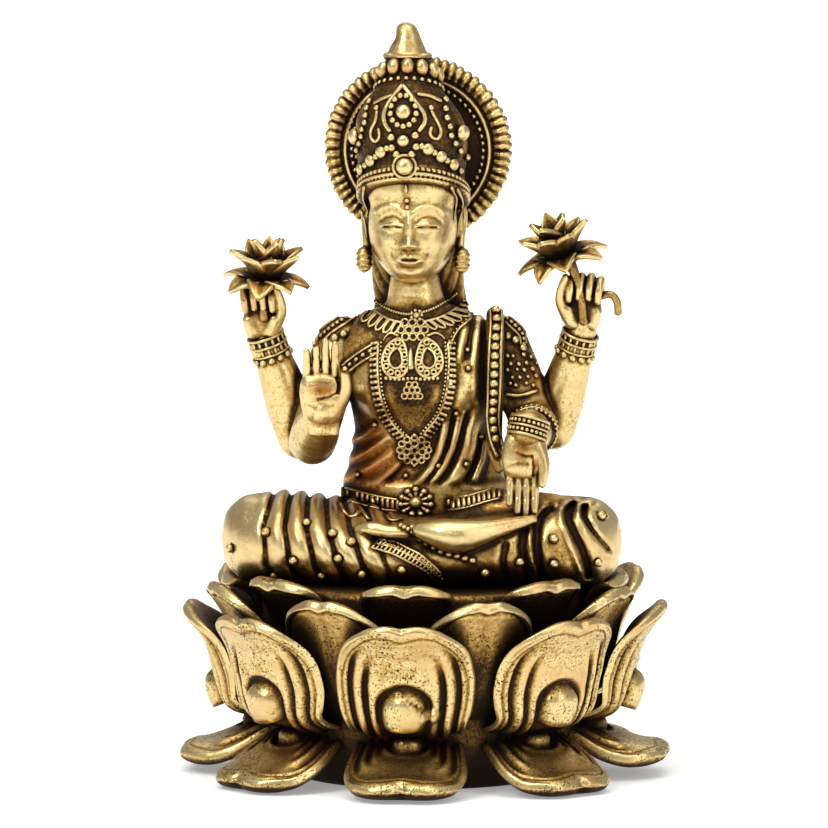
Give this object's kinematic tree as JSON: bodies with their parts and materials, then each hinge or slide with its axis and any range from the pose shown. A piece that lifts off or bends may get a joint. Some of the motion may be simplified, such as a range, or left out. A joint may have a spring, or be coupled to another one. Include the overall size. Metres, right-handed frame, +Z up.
{
  "type": "lakshmi figure",
  "caption": "Cast brass figure of a seated four-armed goddess with lotus flowers, crown and halo, on a lotus plinth that is part of the casting.",
  "frame": {"origin": "middle of the flat underside, on the surface that the figure stands on", "axes": "+Z up, the figure faces -Y, +X to the viewer's right"},
  "size_m": [0.0992, 0.0992, 0.1506],
  "materials": {
    "antique_brass": "cast, darkened in the hollows and rubbed bright on the heights"
  },
  "bodies": {
    "root": {"lakshmi_figure": "antique_brass"}
  },
  "joints": []
}
